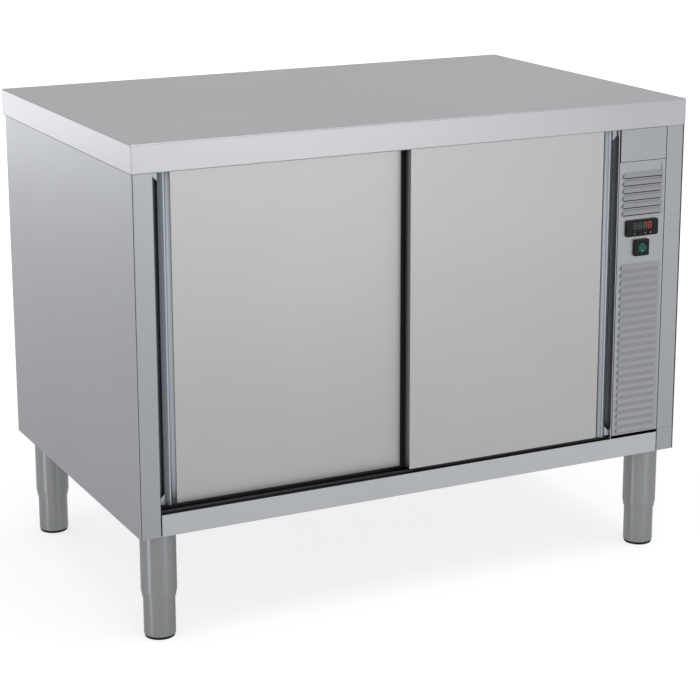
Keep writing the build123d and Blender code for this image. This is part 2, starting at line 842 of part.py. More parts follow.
with BuildPart() as display_window:
    block(
        (panel_middle - window_width / 2, panel_middle + window_width / 2),
        (case_face + window_sheet / 3, case_face + window_sheet),
        (window_z - window_height / 2, window_z + window_height / 2),
    )
store(display_window, "display_window")

for number, key_x in enumerate(key_places, start=1):
    with BuildPart() as key:
        with BuildSketch(Plane.XZ.offset(-case_face + key_proud)):
            with Locations((key_x, key_z)):
                RectangleRounded(key_width, key_height, key_height / 3)
        extrude(amount=-key_depth)
        fillet(key.edges().group_by(Axis.Y)[0], radius=key_edge)
    store(key, f"thermostat_key_{number}")

# ---------------------------------------------------------------- power switch
rocker_centre = (panel_middle, body_front - bezel_proud + rocker_setback, bezel_z)
rocker_hole = rocker_radius + rocker_clearance

with BuildPart() as switch_bezel:
    with BuildSketch(Plane.XZ.offset(-body_front)):
        with Locations((panel_middle, bezel_z)):
            RectangleRounded(bezel_width, bezel_height, bezel_corner)
    extrude(amount=bezel_proud)
    chamfer(switch_bezel.edges().group_by(Axis.Y)[0], length=bezel_chamfer)
    block(
        (panel_middle - bezel_body_width / 2, panel_middle + bezel_body_width / 2),
        (body_front, body_front + bezel_body_depth),
        (bezel_z - bezel_body_width / 2, bezel_z + bezel_body_width / 2),
    )
    drill(panel_middle, body_front - bezel_proud, bezel_z, rocker_hole, rocker_hole_depth, towards_back)
store(switch_bezel, "switch_bezel")

with BuildPart() as switch_rocker:
    with Locations(rocker_centre):
        Sphere(rocker_radius)
    face_tilt = math.radians(rocker_tilt)
    face_normal = (0, -math.cos(face_tilt), -math.sin(face_tilt))
    face_reach = rocker_setback + rocker_proud
    face_origin = tuple(c + face_reach * n for c, n in zip(rocker_centre, face_normal))
    split(bisect_by=Plane(origin=face_origin, x_dir=(1, 0, 0), z_dir=face_normal), keep=Keep.BOTTOM)
    back_origin = (panel_middle, rocker_centre[1] + rocker_back, bezel_z)
    split(bisect_by=Plane(origin=back_origin, x_dir=(1, 0, 0), z_dir=(0, 1, 0)), keep=Keep.BOTTOM)
store(switch_rocker, "switch_rocker")

# ---------------------------------------------------------------- legs and feet
leg_places = (
    ("front_left", -leg_x, leg_front_y),
    ("front_right", leg_x, leg_front_y),
    ("rear_left", -leg_x, leg_rear_y),
    ("rear_right", leg_x, leg_rear_y),
)
collar_bore = foot_radius + foot_clearance
collar_radius = collar_bore + leg_wall
straight_end = body_foot - leg_straight
cone_end = straight_end - leg_cone
collar_end = cone_end - leg_collar
foot_head = collar_end + foot_inside
foot_wall = 1.5
foot_floor = 3
foot_chamfer = 1
pad_round = 1
socket_clearance = 0.1
socket_radius = leg_radius - leg_wall - socket_clearance

with BuildPart() as leg_tubes:
    for leg_name, x, y in leg_places:
        with BuildSketch(Plane(origin=(x, y, 0), x_dir=(1, 0, 0), z_dir=(0, -1, 0))):
            with BuildLine():
                Polyline(
                    (leg_radius, body_foot),
                    (leg_radius, straight_end),
                    (collar_radius, cone_end),
                    (collar_radius, collar_end),
                    (collar_bore, collar_end),
                    (collar_bore, cone_end),
                    (leg_radius - leg_wall, straight_end),
                    (leg_radius - leg_wall, body_foot),
                    close=True,
                )
            make_face()
        revolve(axis=Axis((x, y, 0), (0, 0, 1)), revolution_arc=360)
store(leg_tubes, "leg_tubes")

with BuildPart() as leg_sockets:
    for leg_name, x, y in leg_places:
        rod(x, y, body_foot - socket_thickness, socket_radius, socket_thickness, Plane.XY)
        rod(x, y, body_foot, stud_radius, stud_rise, Plane.XY)
store(leg_sockets, "leg_sockets")

for leg_name, x, y in leg_places:
    with BuildPart() as foot:
        with BuildSketch(Plane(origin=(x, y, 0), x_dir=(1, 0, 0), z_dir=(0, -1, 0))):
            with BuildLine():
                Polyline(
                    (0, pad_height),
                    (foot_radius - foot_chamfer, pad_height),
                    (foot_radius, pad_height + foot_chamfer),
                    (foot_radius, foot_head),
                    (foot_radius - foot_wall, foot_head),
                    (foot_radius - foot_wall, pad_height + foot_floor),
                    (0, pad_height + foot_floor),
                    close=True,
                )
            make_face()
        revolve(axis=Axis((x, y, 0), (0, 0, 1)), revolution_arc=360)
    store(foot, f"foot_{leg_name}")

    with BuildPart() as foot_pad:
        rod(x, y, 0, pad_radius, pad_height, Plane.XY)
        fillet(foot_pad.edges().group_by(Axis.Z)[0], radius=pad_round)
    store(foot_pad, f"foot_pad_{leg_name}")
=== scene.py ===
"""Heated food holding cabinet: the visual model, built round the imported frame. Metres, +Z up."""

import math

import bmesh
import bpy
from mathutils import Matrix, Vector


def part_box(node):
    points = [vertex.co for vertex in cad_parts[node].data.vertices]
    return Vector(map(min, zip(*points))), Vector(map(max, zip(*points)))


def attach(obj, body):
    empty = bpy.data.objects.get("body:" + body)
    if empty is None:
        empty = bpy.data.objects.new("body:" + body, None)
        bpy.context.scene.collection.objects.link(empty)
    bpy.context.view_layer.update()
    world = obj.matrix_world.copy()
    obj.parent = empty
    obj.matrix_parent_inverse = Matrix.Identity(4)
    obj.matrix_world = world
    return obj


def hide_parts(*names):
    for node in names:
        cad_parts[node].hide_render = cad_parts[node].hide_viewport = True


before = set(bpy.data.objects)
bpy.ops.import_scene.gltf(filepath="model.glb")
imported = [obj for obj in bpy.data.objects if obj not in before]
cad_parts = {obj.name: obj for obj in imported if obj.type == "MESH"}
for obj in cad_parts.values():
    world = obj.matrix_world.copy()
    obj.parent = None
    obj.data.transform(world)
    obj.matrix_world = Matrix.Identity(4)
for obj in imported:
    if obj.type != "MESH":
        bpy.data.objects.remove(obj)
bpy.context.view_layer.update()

# --- Camera -------------------------------------------------------------------------------------
# A long lens at chest height, left of the front and nearly four metres away. The small shift of
# the lens keeps the upright edges closer to upright.
camera_data = bpy.data.cameras.new("camera")
camera_data.sensor_width = 36
camera_data.lens = 104.2
camera_data.shift_y = -0.1
camera = bpy.data.objects.new("camera", camera_data)
camera.location = (-1.6835, -3.4116, 1.4549)
camera.rotation_euler = [math.radians(a) for a in (76.14, 0.09, -26.617)]
bpy.context.scene.collection.objects.link(camera)
bpy.context.scene.camera = camera

# --- Studio -------------------------------------------------------------------------------------
# A pale floor and a white surround, which steel reflects as well. One large soft lamp hangs above.
# Three small ones stand lower than the worktop, so they shade the doors, the side and the legs
# from head to foot and never glare in the worktop.
scene = bpy.context.scene
scene.view_settings.view_transform = "Standard"


def linear(code):
    """Turn an sRGB hex colour into the linear colour that the shaders take."""
    parts = [int(code[i : i + 2], 16) / 255 for i in (0, 2, 4)]
    return [c / 12.92 if c <= 0.04045 else ((c + 0.055) / 1.055) ** 2.4 for c in parts] + [1.0]


def add_node(tree, kind, inputs=None, **settings):
    """Add one shader node, set it up, and set or link its inputs."""
    made = tree.nodes.new(kind)
    for key, value in settings.items():
        setattr(made, key, value)
    for key, value in (inputs or {}).items():
        if isinstance(value, bpy.types.NodeSocket):
            tree.links.new(value, made.inputs[key])
        else:
            made.inputs[key].default_value = value
    return made


def background_share(tree):
    """Give 1 to a camera, mirror or glass ray that meets the background, and 0 to plain light."""
    rays = add_node(tree, "ShaderNodeLightPath")
    mirrored = add_node(tree, "ShaderNodeMath", {
        0: rays.outputs["Is Glossy Ray"], 1: rays.outputs["Is Transmission Ray"]},
        operation="MAXIMUM")
    seen = add_node(tree, "ShaderNodeMath", {
        0: rays.outputs["Is Camera Ray"], 1: mirrored.outputs[0]}, operation="MAXIMUM")
    return seen.outputs[0]


def new_material(name):
    """Start a material with no nodes, and give it with its node tree."""
    material = bpy.data.materials.new(name)
    material.use_nodes = True
    material.node_tree.nodes.clear()
    return material, material.node_tree


surround = bpy.data.worlds.new("surround")
surround.use_nodes = True
scene.world = surround
sky = surround.node_tree
sky.nodes.clear()
sky_level = add_node(sky, "ShaderNodeMix", {0: background_share(sky), 2: 0.5, 3: 1.0})
sky_light = add_node(sky, "ShaderNodeBackground", {
    "Color": (1, 1, 1, 1), "Strength": sky_level.outputs[0]})
add_node(sky, "ShaderNodeOutputWorld", {"Surface": sky_light.outputs[0]})

# Matt pale paint that keeps the cabinet's shadow. For camera and mirror rays it also glows white,
# more weakly
# near the cabinet: a painted shade round its foot, which the steel reflects. Further out it fades to
# white.
painted_shade_reach, floor_white = 0.7, 3.6
floor_paint, floor_tree = new_material("pale_floor")
floor_place = add_node(floor_tree, "ShaderNodeTexCoord")
floor_reach = add_node(floor_tree, "ShaderNodeVectorMath", {
    0: floor_place.outputs["Object"]}, operation="LENGTH")
painted_shade_fade = add_node(floor_tree, "ShaderNodeMapRange", {
    "Value": floor_reach.outputs["Value"], "From Min": painted_shade_reach, "From Max": floor_white},
    interpolation_type="SMOOTHSTEP")
# Painted shade: the glow is weaker near the cabinet and full from 3.6 m out.
floor_glow = add_node(floor_tree, "ShaderNodeMapRange", {
    "Value": painted_shade_fade.outputs[0], "To Min": 0.68, "To Max": 1.0})
floor_level = add_node(floor_tree, "ShaderNodeMath", {
    0: background_share(floor_tree), 1: floor_glow.outputs[0]}, operation="MULTIPLY")
floor_matt = add_node(floor_tree, "ShaderNodeBsdfDiffuse", {"Color": linear("BEBEBE")})
floor_lift = add_node(floor_tree, "ShaderNodeEmission", {
    "Color": (1, 1, 1, 1), "Strength": floor_level.outputs[0]})
floor_sum = add_node(floor_tree, "ShaderNodeAddShader", {
    0: floor_matt.outputs[0], 1: floor_lift.outputs[0]})
add_node(floor_tree, "ShaderNodeOutputMaterial", {"Surface": floor_sum.outputs[0]})

floor_mesh = bpy.data.meshes.new("floor")
floor_shape = bmesh.new()
bmesh.ops.create_grid(floor_shape, x_segments=1, y_segments=1, size=40)
floor_shape.to_mesh(floor_mesh)
floor_shape.free()
floor_mesh.materials.append(floor_paint)
floor = bpy.data.objects.new("floor", floor_mesh)
scene.collection.objects.link(floor)

lamps_aim = Vector((0, 0, 0.4))
for lamp_name, place, size, power in (
    ("overhead_lamp", (0.3, -0.6, 3.6), (3.0, 3.0), 45),
    ("front_softbox", (1.2, -4.0, 0.5), (1.8, 0.7), 9),
    ("side_softbox", (-1.7, 3.3, 0.5), (1.8, 0.7), 6.5),
    ("left_strip", (-3.2, -0.8, 0.42), (0.35, 0.75), 11),
):
    lamp_data = bpy.data.lights.new(lamp_name, "AREA")
    lamp_data.shape = "RECTANGLE"
    lamp_data.size, lamp_data.size_y = size
    lamp_data.energy = power
    lamp = bpy.data.objects.new(lamp_name, lamp_data)
    lamp.location = place
    lamp.visible_camera = False
    lamp.rotation_euler = (lamps_aim - Vector(place)).to_track_quat("-Z", "Y").to_euler()
    scene.collection.objects.link(lamp)

# --- Worktop ------------------------------------------------------------------------------------
# One sheet of 1.5 mm stainless folded down on all four sides, with a small hem turned in below.
# It is satin stainless: a grinding belt leaves short fine strokes along the sheet, so reflections
# are soft and drawn out across the strokes.


def put_piece(name, shape, material, body, *nodes, smooth=None):
    """Make an object of a finished bmesh, dress it, and let it stand for its CAD nodes."""
    mesh = bpy.data.meshes.new(name)
    shape.to_mesh(mesh)
    shape.free()
    mesh.materials.append(material)
    if smooth is not None:
        mesh.shade_smooth()
        mesh.set_sharp_from_angle(angle=math.radians(smooth))
    piece = bpy.data.objects.new(name, mesh)
    scene.collection.objects.link(piece)
    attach(piece, body)
    if nodes:
        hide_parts(*nodes)
    return piece


def box_shape(low, high):
    """Start a bmesh from a cube stretched between two corners."""
    shape = bmesh.new()
    bmesh.ops.create_cube(shape, size=1)
    low, high = Vector(low), Vector(high)
    bmesh.ops.scale(shape, vec=high - low, verts=shape.verts)
    bmesh.ops.translate(shape, vec=(low + high) / 2, verts=shape.verts)
    return shape


def soften(shape, edges, width, steps):
    """Round some edges of a bmesh."""
    bmesh.ops.bevel(shape, geom=list(edges), offset=width, segments=steps, profile=0.5,
                    affect="EDGES", material=-1)


def folded_sheet(low, high, open_sides, gauge, bend, hem=0.0):
    """Fold a sheet round a box that has some open sides, with rounded bends and a real thickness."""
    shape = box_shape(low, high)
    for side in open_sides:
        faces = [f for f in shape.faces if f.normal.dot(Vector(side)) > 0.99]
        if hem:
            bmesh.ops.inset_region(shape, faces=faces, thickness=hem)
            middle = (Vector(low) + Vector(high)) / 2
            faces = [f for f in shape.faces if f.normal.dot(Vector(side)) > 0.99]
            faces = [min(faces, key=lambda f: (f.calc_center_median() - middle).xy.length)]
        bmesh.ops.delete(shape, geom=faces, context="FACES")
    bends = [e for e in shape.edges if len(e.link_faces) == 2 and e.calc_face_angle(0) > 1]
    soften(shape, bends, bend, 4)
    bmesh.ops.solidify(shape, geom=shape.faces, thickness=gauge)
    return shape


def brushed_stainless(name, colour, deep, strokes, roughness, spread=None):
    """Satin metal with fine strokes; strokes gives how many fit in a metre along each axis.

    Real strokes are about 0.1 mm wide. They are drawn coarser, near 1 mm, so that they show.
    Painted shade darkens the creases, found by a short occlusion test, and ground tube has spread,
    the axis along which its highlights draw out into a line."""
    material, tree = new_material(name)
    place = add_node(tree, "ShaderNodeTexCoord")
    drawn = add_node(tree, "ShaderNodeMapping", {
        "Vector": place.outputs["Object"], "Scale": strokes})
    grain = add_node(tree, "ShaderNodeTexNoise", {
        "Vector": drawn.outputs[0], "Scale": 1.0, "Detail": 5.0, "Roughness": 0.65})
    cloud = add_node(tree, "ShaderNodeTexNoise", {
        "Vector": place.outputs["Object"], "Scale": 3.1, "Detail": 3.0})
    both = add_node(tree, "ShaderNodeMath", {
        0: grain.outputs[0], 1: cloud.outputs[0]}, operation="ADD")
    share = add_node(tree, "ShaderNodeMapRange", {
        "Value": both.outputs[0], "From Min": 0.7, "From Max": 1.3})
    tone = add_node(tree, "ShaderNodeValToRGB", {"Fac": share.outputs[0]})
    tone.color_ramp.elements[0].color = linear(deep)
    tone.color_ramp.elements[1].color = linear(colour)
    # Painted shade: a short occlusion test darkens the colour in each piece's own creases and
    # recesses.
    crease_occlusion = add_node(tree, "ShaderNodeAmbientOcclusion", {
        "Distance": 0.009}, only_local=True, samples=6)
    shade = add_node(tree, "ShaderNodeMapRange", {
        "Value": crease_occlusion.outputs["AO"], "From Min": 0.45, "From Max": 0.94,
        "To Min": 0.2, "To Max": 1.0})
    painted_shade_tone = add_node(tree, "ShaderNodeHueSaturation", {
        "Color": tone.outputs[0], "Value": shade.outputs[0]})
    rough = add_node(tree, "ShaderNodeMapRange", {
        "Value": grain.outputs[0], "From Min": 0.3, "From Max": 0.7,
        "To Min": roughness - 0.03, "To Max": roughness + 0.03})
    relief = add_node(tree, "ShaderNodeBump", {
        "Strength": 0.05, "Distance": 0.0003, "Height": grain.outputs[0]})
    metal = add_node(tree, "ShaderNodeBsdfPrincipled", {
        "Base Color": painted_shade_tone.outputs[0], "Metallic": 1.0, "Roughness": rough.outputs[0],
        "Specular Tint": linear("E3E3E3"), "Normal": relief.outputs[0]})
    if spread:
        across = add_node(tree, "ShaderNodeCombineXYZ", dict(enumerate(spread)))
        metal.inputs["Anisotropic"].default_value = 0.9
        tree.links.new(across.outputs[0], metal.inputs["Tangent"])
    add_node(tree, "ShaderNodeOutputMaterial", {"Surface": metal.outputs[0]})
    return material


worktop_gauge = 0.0015
worktop_bend = 0.0022
worktop_hem = 0.004
worktop_steel = brushed_stainless("worktop_stainless", "A6A6A9", "A1A1A5", (9, 1100, 1100), 0.34)
worktop_low, worktop_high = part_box("worktop")
worktop_shape = folded_sheet(worktop_low, worktop_high, [(0, 0, -1)], worktop_gauge,
                             worktop_bend, hem=worktop_hem)
worktop_piece = put_piece("worktop_sheet", worktop_shape, worktop_steel, "cabinet", "worktop")

# --- Body shell ---------------------------------------------------------------------------------
# The side panels are 1.2 mm stainless with a narrow flange turned in at the rear, and the front
# posts are folded U sections. A small cap closes the foot of the right post.
shell_gauge = 0.0012
shell_bend = 0.0018
# Belt-ground upright, which gives a cooler and duller grey than the worktop.
shell_steel = brushed_stainless("shell_stainless", "95979A", "909296", (1100, 1100, 9), 0.36)
for hand, out in (("left", -1), ("right", 1)):
    low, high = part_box(f"side_panel_{hand}")
    side_open = [(-out, 0, 0), (0, -1, 0), (0, 0, 1), (0, 0, -1)]
    side_shape = folded_sheet(low, high, side_open, shell_gauge, shell_bend)
    side_piece = put_piece(f"side_sheet_{hand}", side_shape, shell_steel, "cabinet",
                           f"side_panel_{hand}")
for name in ("stile_left", "stile_right"):
    low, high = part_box(name)
    post_open = [(0, 1, 0), (0, 0, 1), (0, 0, -1)]
    post_shape = folded_sheet(low, high, post_open, shell_gauge, shell_bend)
    post_piece = put_piece(f"{name}_post", post_shape, shell_steel, "cabinet", name)
cap_low, cap_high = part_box("corner_cap")
cap_shape = folded_sheet(cap_low, cap_high, [(0, 1, 0), (0, 0, 1)], shell_gauge, shell_bend)
cap_piece = put_piece("corner_cap_sheet", cap_shape, shell_steel, "cabinet", "corner_cap")

# --- Bottom rail --------------------------------------------------------------------------------
# A folded box section with a low lip along its top edge that hides the door track. Its strokes
# run along it, and it is welded to the posts at both ends.


def eased_copy(node, ease, turn=30):
    """Copy a CAD node's mesh, merge its triangles, and ease its sharp edges."""
    shape = bmesh.new()
    shape.from_mesh(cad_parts[node].data)
    bmesh.ops.remove_doubles(shape, verts=shape.verts, dist=0.00001)
    bmesh.ops.dissolve_limit(shape, angle_limit=0.01, verts=shape.verts, edges=shape.edges)
    folds = [e for e in shape.edges if len(e.link_faces) == 2]
    sharp = [e for e in folds if e.calc_face_angle(0) > math.radians(turn)]
    bmesh.ops.bevel(shape, geom=sharp, offset=ease, segments=2, profile=0.5, affect="EDGES",
                    clamp_overlap=True, material=-1)
    return shape


rail_steel = brushed_stainless("rail_stainless", "AAACAF", "A5A7AA", (9, 1100, 1100), 0.36)
rail_piece = put_piece("bottom_rail_section", eased_copy("bottom_rail", 0.0006), rail_steel,
                       "cabinet", "bottom_rail")

# --- Doors --------------------------------------------------------------------------------------
# Each door is a tray of 1 mm stainless closed at the back by a flat liner. The sheet is ground
# upright, so its strokes run from foot to head.


def dress(node, material):
    """Give a CAD node its finish and leave its mesh as it is."""
    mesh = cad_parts[node].data
    mesh.materials.clear()
    mesh.materials.append(material)


door_gauge = 0.001
door_bend = 0.0014
# Handled and wiped every day, so it is a little duller and warmer than the worktop.
door_steel = brushed_stainless("door_stainless", "A5A4A4", "A1A0A0", (1100, 1100, 8), 0.38)
for door in ("left_door", "right_door"):
    low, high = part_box(f"{door}_skin")
    tray_shape = folded_sheet(low, high, [(0, 1, 0)], door_gauge, door_bend)
    tray_piece = put_piece(f"{door}_tray", tray_shape, door_steel, door, f"{door}_skin")
    dress(f"{door}_liner", door_steel)

# --- Door handles -------------------------------------------------------------------------------
# Anodised aluminium extrusions. The die leaves faint lines along the length, and the anodising
# gives a cool, slightly blue satin.
handle_metal = brushed_stainless("anodised_aluminium", "A0A6AD", "989EA5", (1500, 1500, 3), 0.4)
for door in ("left_door", "right_door"):
    handle_piece = put_piece(f"{door}_grip", eased_copy(f"{door}_handle", 0.0004), handle_metal,
                             door, f"{door}_handle")

# --- Service panels -----------------------------------------------------------------------------
# Two folded panels close the service bay. The lower one is pressed with louvres: six at the top
# are open below their lips, and the rest are closed.
panel_gauge = 0.0012
panel_bend = 0.0012
# Ground across before it is folded and pressed, and a little rougher than the posts.
panel_steel = brushed_stainless("panel_stainless", "96989B", "929497", (9, 1100, 1100), 0.4)
upper_low, upper_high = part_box("upper_panel")
upper_shape = folded_sheet(upper_low, upper_high, [(0, 1, 0), (0, 0, 1), (0, 0, -1)],
                           panel_gauge, panel_bend)
upper_piece = put_piece("upper_panel_sheet", upper_shape, panel_steel, "cabinet", "upper_panel")

panel_low, panel_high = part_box("service_panel")
panel_front = -0.348
louvre_length = 0.091
louvre_height = 0.0095
louvre_proud = 0.0038
louvre_edge = 0.0005
louvre_root = 0.0004
head_proud, head_inset, lip_inset = 0.0001, 0.0045, 0.0022
slot_margin, slot_below, slot_above = 0.004, 0.0024, 0.002
first_open_drop, open_pitch, open_count = 0.029, 0.0141, 6
first_closed_drop, closed_pitch, closed_count = 0.2035, 0.0145, 23
open_feet = [panel_high.z - first_open_drop - i * open_pitch for i in range(open_count)]
closed_feet = [panel_high.z - first_closed_drop - i * closed_pitch for i in range(closed_count)]
panel_middle = (panel_low.x + panel_high.x) / 2


def whole(shape):
    """List every part of a bmesh."""
    return shape.verts[:] + shape.edges[:] + shape.faces[:]


def cut_window(shape, x, z):
    """Cut a rectangular hole through a sheet that stands facing the front."""
    cuts = [((at, 0, 0), (1, 0, 0)) for at in x] + [((0, 0, at), (0, 0, 1)) for at in z]
    for point, normal in cuts:
        bmesh.ops.bisect_plane(shape, geom=whole(shape), plane_co=point, plane_no=normal)
    hole = []
    for face in shape.faces:
        centre = face.calc_center_median()
        if x[0] < centre.x < x[1] and z[0] < centre.z < z[1]:
            hole.append(face)
    bmesh.ops.delete(shape, geom=hole, context="FACES")


panel_shape = box_shape((panel_low.x, panel_front, panel_low.z), panel_high)
panel_open = [f for f in panel_shape.faces if f.normal.y > 0.9 or abs(f.normal.z) > 0.9]
bmesh.ops.delete(panel_shape, geom=panel_open, context="FACES")
slot_half = louvre_length / 2 - slot_margin
slot_across = (panel_middle - slot_half, panel_middle + slot_half)
for foot in open_feet:
    cut_window(panel_shape, slot_across, (foot - slot_below, foot + slot_above))
panel_joins = [e for e in panel_shape.edges if len(e.link_faces) == 2]
soften(panel_shape, [e for e in panel_joins if e.calc_face_angle(0) > 1], panel_bend, 3)
bmesh.ops.solidify(panel_shape, geom=panel_shape.faces, thickness=panel_gauge)


def add_hood(shape, foot):
    """Press one louvre: flush at its head, proud at its lip, with ends that slope in."""
    hood = bmesh.ops.create_cube(shape, size=1)["verts"]
    for vert in hood:
        head = vert.co.z > 0
        front = vert.co.y < 0
        across = math.copysign(1, vert.co.x)
        inset = head_inset if head else (lip_inset if front else 0.0)
        reach = head_proud if head else louvre_proud
        vert.co = (
            panel_middle + across * (louvre_length / 2 - inset),
            panel_front - reach if front else panel_front + louvre_root,
            foot + louvre_height if head else foot,
        )
    joins = {e for v in hood for e in v.link_edges}
    lips = {e for e in joins if any(w.co.y < panel_front - 0.001 for w in e.verts)}
    soften(shape, lips, louvre_edge, 2)


for foot in open_feet + closed_feet:
    add_hood(panel_shape, foot)
panel_piece = put_piece("service_panel_sheet", panel_shape, panel_steel, "cabinet", "service_panel")

# --- Thermostat ---------------------------------------------------------------------------------
# A bought-in controller: a moulded black case with a tinted window over four digits, and four
# small rubber keys below it. The case is spark-eroded ABS, which gives it a fine dull grain.


def moulded(name, colour, roughness, grain, depth):
    """Moulded plastic or rubber with the dull grain of its mould; grain counts in a metre.

    Real grains are about 0.1 mm wide. They are drawn coarser, from 0.25 mm up, so that they show."""
    material, tree = new_material(name)
    place = add_node(tree, "ShaderNodeTexCoord")
    pores = add_node(tree, "ShaderNodeTexNoise", {
        "Vector": place.outputs["Object"], "Scale": grain, "Detail": 3.0})
    handled = add_node(tree, "ShaderNodeTexNoise", {
        "Vector": place.outputs["Object"], "Scale": 90.0, "Detail": 2.0})
    lift = add_node(tree, "ShaderNodeMapRange", {
        "Value": handled.outputs[0], "To Min": 0.7, "To Max": 1.3})
    tone = add_node(tree, "ShaderNodeHueSaturation", {
        "Color": linear(colour), "Value": lift.outputs[0]})
    rough = add_node(tree, "ShaderNodeMapRange", {
        "Value": pores.outputs[0], "To Min": roughness - 0.08, "To Max": roughness + 0.08})
    relief = add_node(tree, "ShaderNodeBump", {
        "Strength": 0.3, "Distance": depth, "Height": pores.outputs[0]})
    plastic = add_node(tree, "ShaderNodeBsdfPrincipled", {
        "Base Color": tone.outputs[0], "Roughness": rough.outputs[0], "Specular IOR Level": 0.2,
        "Normal": relief.outputs[0]})
    add_node(tree, "ShaderNodeOutputMaterial", {"Surface": plastic.outputs[0]})
    return material


case_abs = moulded("black_abs", "060908", 0.42, 4000, 0.00005)
case_piece = put_piece("controller_case", eased_copy("thermostat_case", 0.0003), case_abs,
                       "cabinet", "thermostat_case")

# Polished smoked acrylic, so dark and smooth that it mirrors the room.
window_tint = moulded("tinted_acrylic", "121917", 0.2, 2000, 0.00001)
window_low, window_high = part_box("display_window")
window_piece = put_piece("controller_window", eased_copy("display_window", 0.0002), window_tint,
                         "cabinet", "display_window")

# Unlit bars are grey plastic, and the lit ones glow red with slightly uneven strength.
segment_dark = moulded("unlit_segment", "6E7875", 0.4, 3000, 0.00001)
segment_lit, lit_tree = new_material("lit_segment")
lit_place = add_node(lit_tree, "ShaderNodeTexCoord")
lit_noise = add_node(lit_tree, "ShaderNodeTexNoise", {
    "Vector": lit_place.outputs["Object"], "Scale": 600.0})
lit_tone = add_node(lit_tree, "ShaderNodeValToRGB", {"Fac": lit_noise.outputs[0]})
lit_tone.color_ramp.elements[0].color = linear("C63A2C")
lit_tone.color_ramp.elements[1].color = linear("F0604C")
lit_glow = add_node(lit_tree, "ShaderNodeEmission", {
    "Color": lit_tone.outputs[0], "Strength": 1.0})
add_node(lit_tree, "ShaderNodeOutputMaterial", {"Surface": lit_glow.outputs[0]})

digit_width = 0.0062
digit_height = 0.0112
digit_pitch = 0.0106
bar = 0.0011
bar_gap = 0.0006
bar_depth = 0.0002
bar_point = bar * 0.42
# Each bar's place across and up a digit, in half widths and half heights, and if it lies level.
strokes_of = {
    "top": (0, 1, True), "middle": (0, 0, True), "bottom": (0, -1, True),
    "upper_left": (-1, 0.5, False), "upper_right": (1, 0.5, False),
    "lower_left": (-1, -0.5, False), "lower_right": (1, -0.5, False),
}
lit_digits = (
    (), (), ("top", "upper_right", "lower_right"),
    ("top", "bottom", "upper_left", "upper_right", "lower_left", "lower_right"),
)


def digit_bar(shape, centre, level):
    """Add one bar of a seven-bar digit, with pointed ends."""
    bar_verts = bmesh.ops.create_cube(shape, size=1)["verts"]
    if level:
        wide, tall = digit_width - bar_gap, bar
    else:
        wide, tall = bar, digit_height / 2 - bar_gap
    bmesh.ops.scale(shape, vec=(wide, bar_depth, tall), verts=bar_verts)
    bmesh.ops.translate(shape, vec=centre, verts=bar_verts)
    joins = {e for v in bar_verts for e in v.link_edges}
    ends = {e for e in joins if abs((e.verts[0].co - e.verts[1].co).normalized().y) > 0.9}
    soften(shape, ends, bar_point, 1)


window_middle_z = (window_low.z + window_high.z) / 2
lit_shape = bmesh.new()
unlit_shape = bmesh.new()
for place_number, lit in enumerate(lit_digits):
    digit_x = panel_middle + (place_number - 1.5) * digit_pitch
    for stroke, (across, up, level) in strokes_of.items():
        centre = (digit_x + across * digit_width / 2, window_low.y - bar_depth / 4,
                  window_middle_z + up * digit_height / 2)
        digit_bar(lit_shape if stroke in lit else unlit_shape, centre, level)
lit_piece = put_piece("lit_digits", lit_shape, segment_lit, "cabinet")
unlit_piece = put_piece("unlit_digits", unlit_shape, segment_dark, "cabinet")

# Soft keys a little duller than the case, with pale printed marks, a side count and a turn each.
key_rubber = moulded("key_rubber", "0A0C0D", 0.5, 3000, 0.00004)
key_ink = moulded("key_ink", "C9CECC", 0.5, 3000, 0.00001)
key_marks = {1: (3, 30), 3: (3, 90), 4: (4, 30)}
mark_depth = 0.0002
mark_radius = 0.0016
face_front = Matrix.Rotation(math.radians(90), 3, "X")
for number in range(1, 5):
    node = f"thermostat_key_{number}"
    low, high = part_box(node)
    key_shape = eased_copy(node, 0.0003)
    for vert in key_shape.verts:
        vert.co.y = max(vert.co.y, low.y + mark_depth)
    key_piece = put_piece(f"key_{number}_cap", key_shape, key_rubber, f"key_{number}", node)
    if number in key_marks:
        sides, turn = key_marks[number]
        mark = bmesh.new()
        bmesh.ops.create_cone(mark, cap_ends=True, segments=sides, radius1=mark_radius,
                              radius2=mark_radius, depth=mark_depth)
        twist = Matrix.Rotation(math.radians(turn), 3, "Z")
        bmesh.ops.rotate(mark, cent=(0, 0, 0), matrix=twist, verts=mark.verts)
        bmesh.ops.rotate(mark, cent=(0, 0, 0), matrix=face_front, verts=mark.verts)
        mark_place = ((low.x + high.x) / 2, low.y + mark_depth / 2, (low.z + high.z) / 2)
        bmesh.ops.translate(mark, vec=mark_place, verts=mark.verts)
        mark_piece = put_piece(f"key_{number}_mark", mark, key_ink, f"key_{number}")

# --- Power switch -------------------------------------------------------------------------------
# A round rocker in a square black nylon bezel that snaps into the panel. The rocker is a dished
# cap of teal polycarbonate, glossier than the bezel, with a white dot to show which end is down.
bezel_nylon = moulded("bezel_nylon", "0B0D0D", 0.35, 3500, 0.00004)
bezel_piece = put_piece("switch_surround", eased_copy("switch_bezel", 0.0003), bezel_nylon,
                        "cabinet", "switch_bezel")

